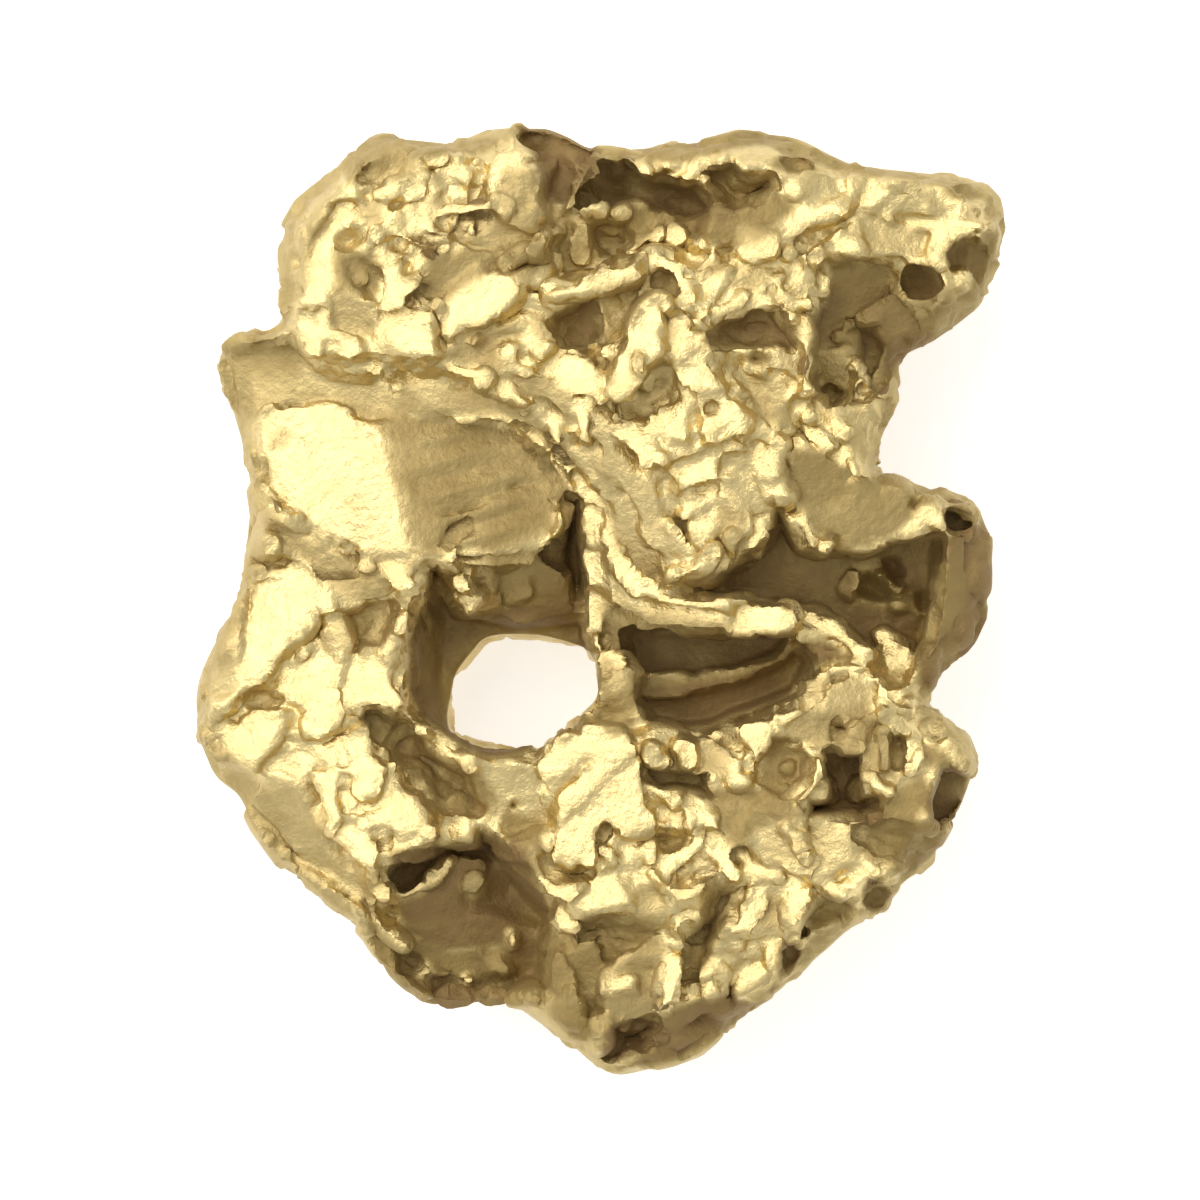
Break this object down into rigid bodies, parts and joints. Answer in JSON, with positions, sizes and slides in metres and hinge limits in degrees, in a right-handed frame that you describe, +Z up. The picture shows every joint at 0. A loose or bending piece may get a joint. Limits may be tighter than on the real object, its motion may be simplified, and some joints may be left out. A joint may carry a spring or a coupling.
{
  "type": "gold nugget",
  "caption": "Flattened, hackly lump of native gold with ledges, pits, a smooth flap and a natural hole right through it.",
  "frame": {"origin": "centre of the nugget's box, on the plane that it rests on", "axes": "+Y along its length, +X across its width, +Z up out of its more rugged face"},
  "size_m": [0.013, 0.0152, 0.005],
  "materials": {
    "native_gold": "satin"
  },
  "bodies": {
    "root": {"gold_nugget": "native_gold"}
  },
  "joints": []
}
